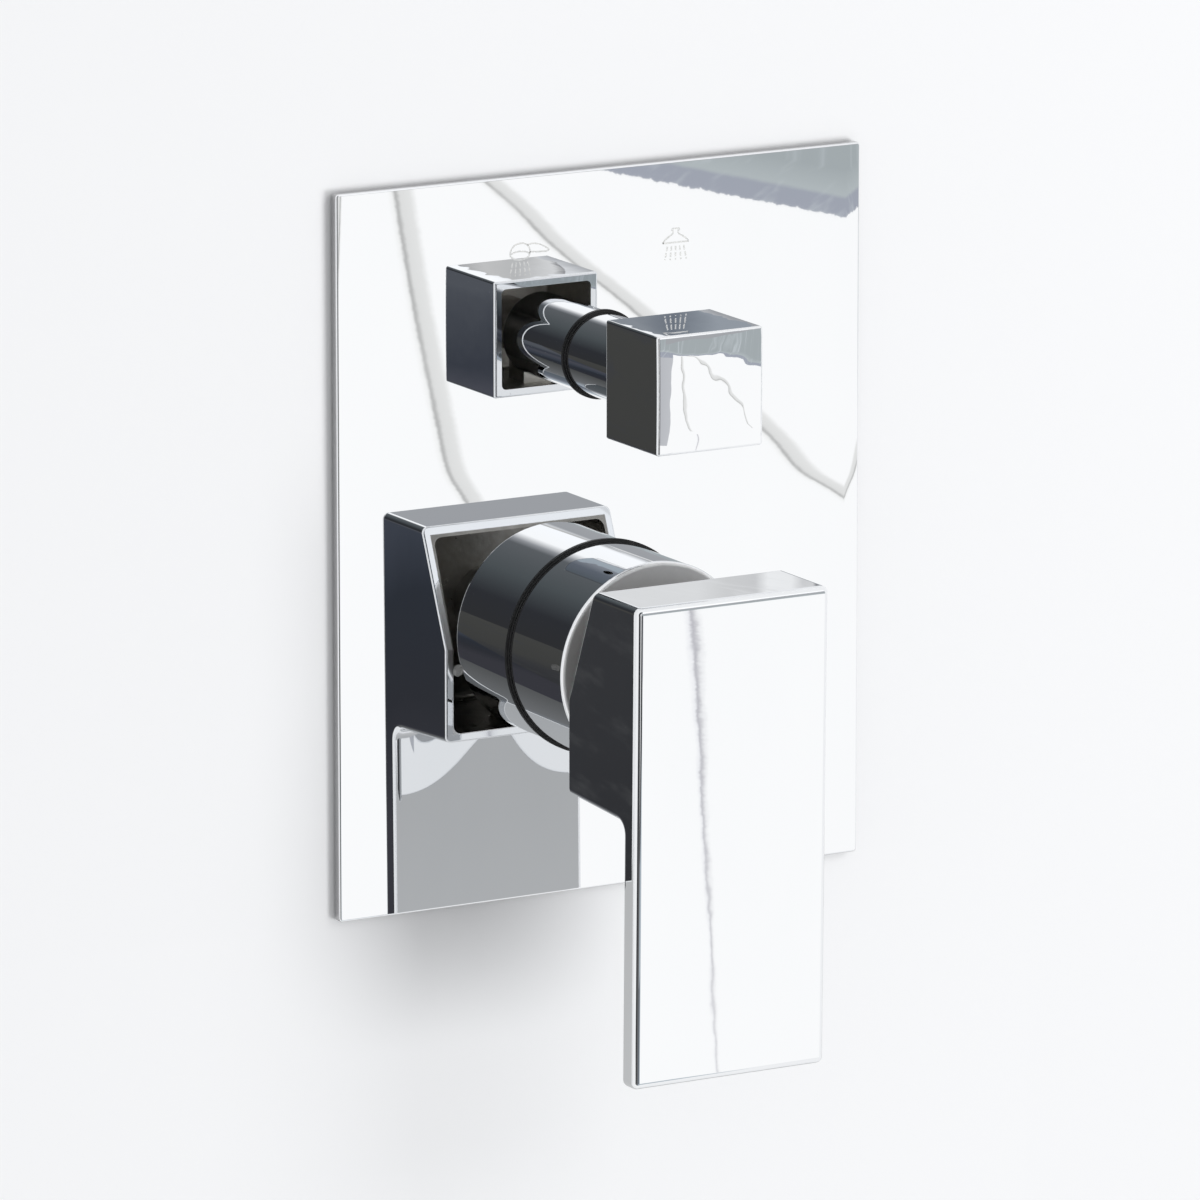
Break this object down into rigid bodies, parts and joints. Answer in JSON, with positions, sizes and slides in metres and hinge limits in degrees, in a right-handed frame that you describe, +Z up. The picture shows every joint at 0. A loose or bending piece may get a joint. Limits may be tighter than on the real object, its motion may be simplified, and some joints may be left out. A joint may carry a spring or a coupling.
{
  "type": "pressure balance shower valve",
  "caption": "In-wall pressure balance shower valve with a polished rectangular cover plate, a flat mixing lever on a round sleeve and a square diverter knob above it.",
  "frame": {"origin": "the lever axis where it meets the finished wall face", "axes": "+X to the right of a person facing the wall, +Y into the wall, +Z up"},
  "size_m": [0.1396, 0.1177, 0.2099],
  "materials": {
    "chrome": "polished chrome plate",
    "steel": "turned stainless steel",
    "zinc_steel": "zinc plated sheet",
    "brass": "turned brass",
    "cast_brass": "sand cast, blasted",
    "black_rubber": "matte",
    "foam": "closed-cell foam",
    "white_plastic": "moulded",
    "grey_plastic": "moulded",
    "ceramic": "lapped alumina"
  },
  "bodies": {
    "valve": {"cover_plate": "chrome", "plate_gasket": "foam", "sleeve_seal": "black_rubber", "stem_seal": "black_rubber", "lever_sleeve": "chrome", "sleeve_grip_ring": "black_rubber", "diverter_sleeve": "chrome", "stem_grip_ring": "black_rubber", "limit_stop": "grey_plastic", "cartridge_nut": "brass", "cartridge_housing": "grey_plastic", "fixed_disc": "ceramic", "cartridge_base": "grey_plastic", "base_seals": "black_rubber", "balance_sleeve": "white_plastic", "balance_o_rings": "black_rubber", "balance_cap": "brass", "cap_o_ring": "black_rubber", "diverter_headpart": "brass", "headpart_o_ring": "black_rubber", "diverter_fixed_disc": "ceramic", "diverter_seat_seal": "black_rubber", "valve_body": "cast_brass", "mounting_bracket": "zinc_steel", "bracket_screws": "zinc_steel"},
    "carrier": {"lever_carrier": "white_plastic", "stem_pin": "steel"},
    "lever": {"lever_handle": "chrome", "lever_spindle": "brass", "lever_set_screw": "steel", "lever_screw_cap": "grey_plastic"},
    "disc": {"disc_driver": "white_plastic", "moving_disc": "ceramic"},
    "knob": {"diverter_knob": "chrome", "knob_set_screw": "steel", "diverter_spindle": "brass", "spindle_o_ring": "black_rubber", "spindle_circlip": "steel", "diverter_moving_disc": "ceramic"},
    "spool": {"balance_spool": "steel"}
  },
  "joints": [
    {"name": "lever_turn", "type": "hinge", "parent": "valve", "child": "carrier", "pos_m": [0, 0, 0], "axis": [0, 1, 0], "range_deg": [-45, 45]},
    {"name": "lever_lift", "type": "hinge", "parent": "carrier", "child": "lever", "pos_m": [0, -0.0155, 0], "axis": [-1, 0, 0], "range_deg": [0, 22]},
    {"name": "disc_slide", "type": "slide", "parent": "carrier", "child": "disc", "axis": [0, 0, -1], "range_m": [0, 0.005]},
    {"name": "spool_slide", "type": "slide", "parent": "valve", "child": "spool", "axis": [1, 0, 0], "range_m": [-0.0025, 0.0025]},
    {"name": "knob_turn", "type": "hinge", "parent": "valve", "child": "knob", "pos_m": [0, 0, 0.0696], "axis": [0, 1, 0], "range_deg": [0, 90]}
  ],
  "couplings": [
    {"joint": "disc_slide", "follows": "lever_lift", "m_per_rad": 0.013}
  ]
}
